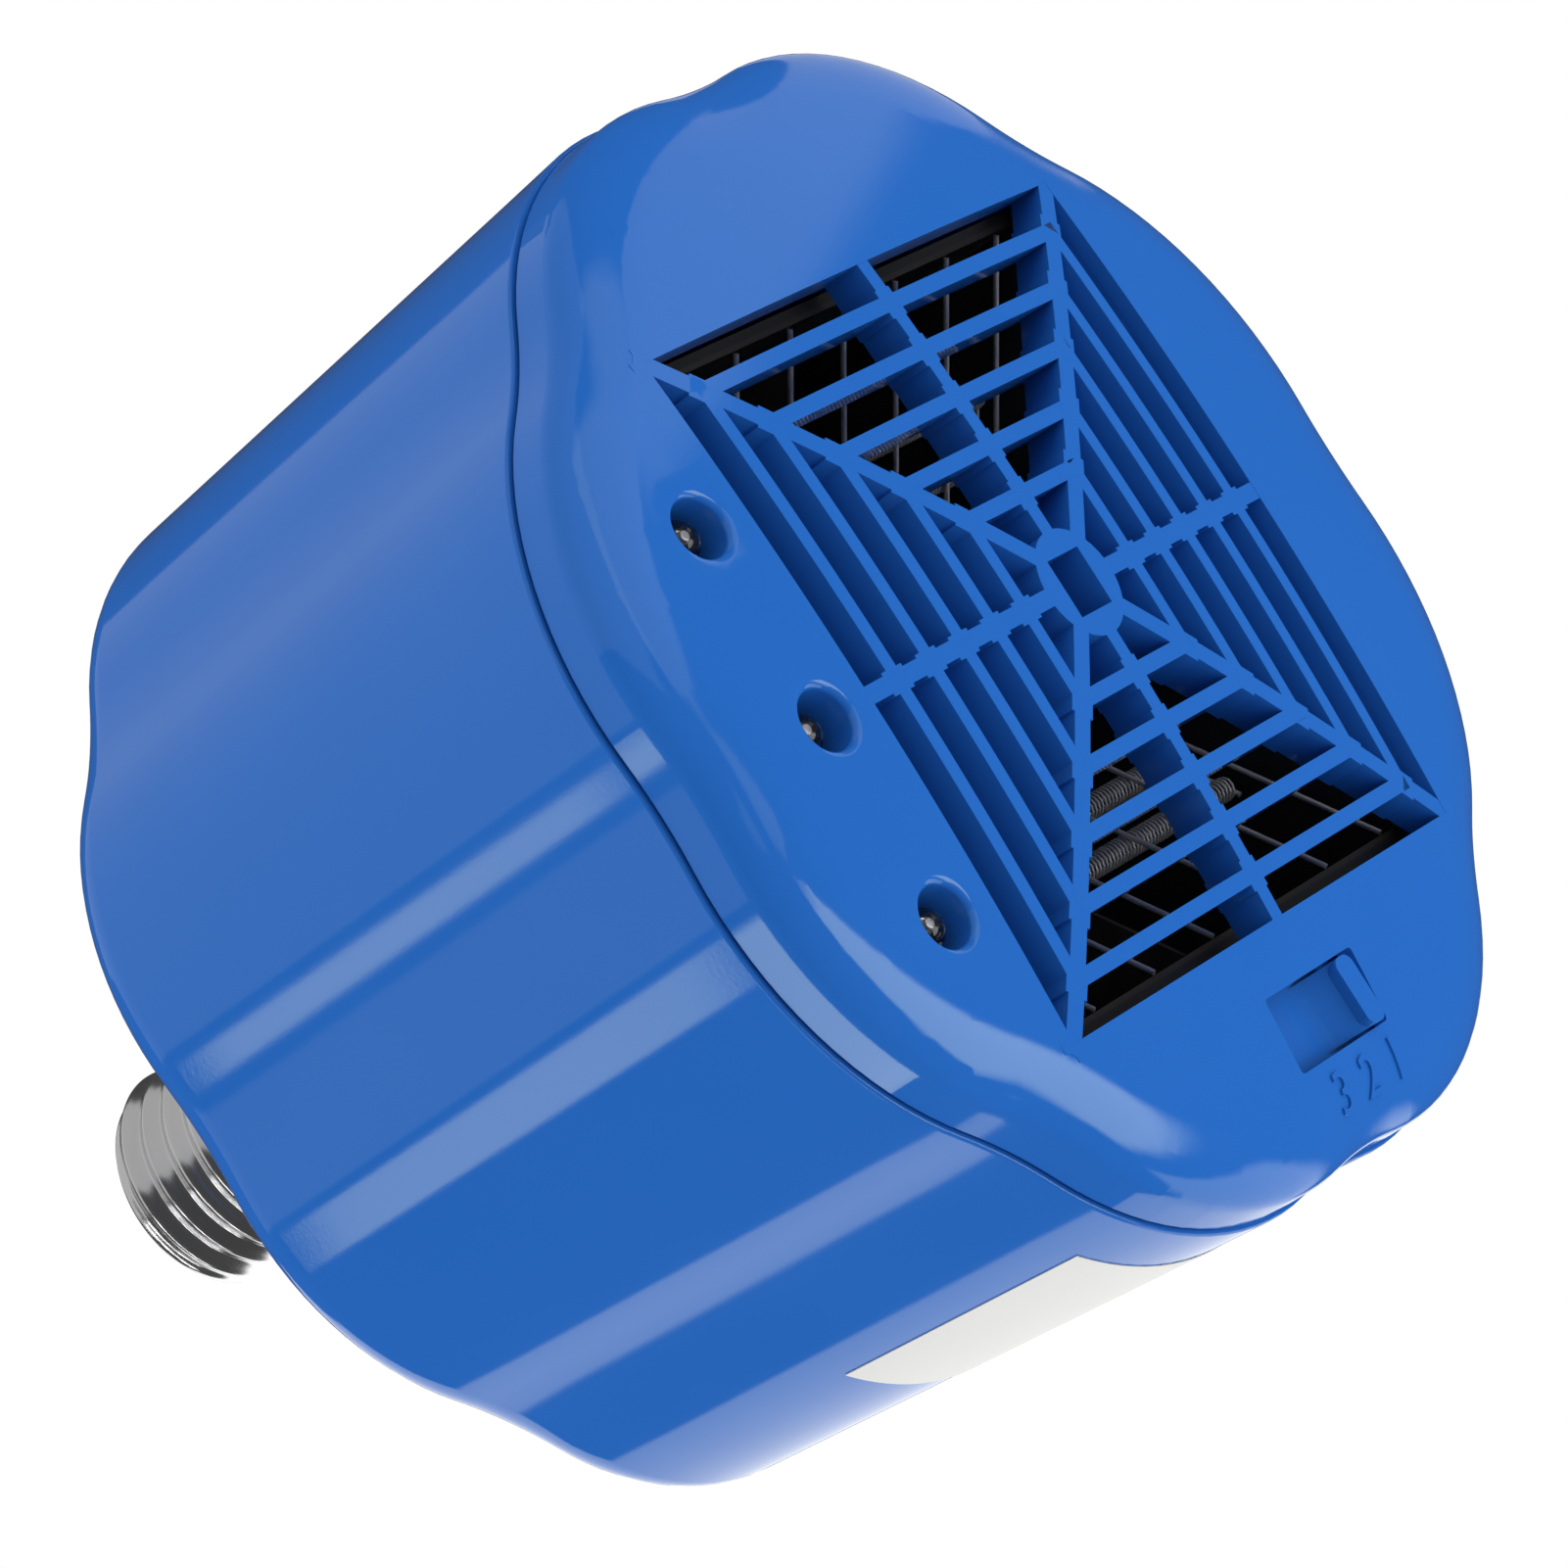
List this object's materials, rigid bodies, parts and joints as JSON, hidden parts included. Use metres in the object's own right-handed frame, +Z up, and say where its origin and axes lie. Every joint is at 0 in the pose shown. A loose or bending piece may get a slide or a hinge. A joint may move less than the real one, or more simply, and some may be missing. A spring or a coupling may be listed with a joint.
{
  "type": "brooder heat lamp",
  "caption": "Screw-in fan heater lamp for brooding chicks: lobed tapered housing on an E27 base, domed web grille over heater coils and fan, clear indicator diodes and a slide switch",
  "frame": {"origin": "tip of the end contact, on the lamp's axis", "axes": "+Z up along the axis out of the base into the lamp holder, so the grille faces -Z; -Y towards the row of diodes; -X towards the slide switch"},
  "size_m": [0.1286, 0.1286, 0.1471],
  "materials": {
    "housing_blue": "moulded, soft sheen",
    "base_metal": "rolled, bright",
    "contact_metal": "plain",
    "insulator_black": "moulded, matt",
    "lead_live": "sleeved wire",
    "lead_neutral": "sleeved wire",
    "fan_black": "moulded, matt",
    "steel": "plated",
    "winding": "enamelled copper on a steel core",
    "duct_black": "dark coated sheet",
    "mica": "layered sheet, matt",
    "heater_wire": "drawn wire",
    "circuit_board": "glass-filled laminate",
    "lamp_clear": "clear, moulded"
  },
  "bodies": {
    "housing": {"body_shell": "housing_blue", "front_cover": "housing_blue", "screw_shell": "base_metal", "centre_contact": "contact_metal", "base_insulator": "insulator_black", "live_lead": "lead_live", "neutral_lead": "lead_neutral", "fan_frame": "fan_black", "fan_stator": "winding", "fan_screws": "steel", "cover_screws": "steel", "board_screws": "steel", "heater_duct": "duct_black", "mica_card_long": "mica", "mica_card_cross": "mica", "mica_liner_right": "mica", "mica_liner_left": "mica", "support_wires": "heater_wire", "heater_coil_inner_right": "heater_wire", "heater_coil_outer_right": "heater_wire", "heater_coil_inner_left": "heater_wire", "heater_coil_outer_left": "heater_wire", "heater_links": "heater_wire", "thermal_cutout": "steel", "thermal_fuse": "steel", "lamp_board": "circuit_board", "lamp_left": "lamp_clear", "lamp_middle": "lamp_clear", "lamp_right": "lamp_clear", "switch_case": "steel", "switch_terminals": "contact_metal", "switch_board": "circuit_board", "power_board": "circuit_board", "smoothing_capacitor": "fan_black", "rectifier": "fan_black"},
    "slider": {"switch_knob": "housing_blue"},
    "rotor": {"fan_rotor": "fan_black", "fan_shaft": "steel"}
  },
  "joints": [
    {"name": "switch_slide", "type": "slide", "parent": "housing", "child": "slider", "axis": [0, -1, 0], "range_m": [0, 0.008]},
    {"name": "fan_spin", "type": "hinge", "parent": "housing", "child": "rotor", "pos_m": [0, 0, -0.0725], "axis": [0, 0, 1], "continuous": true}
  ]
}
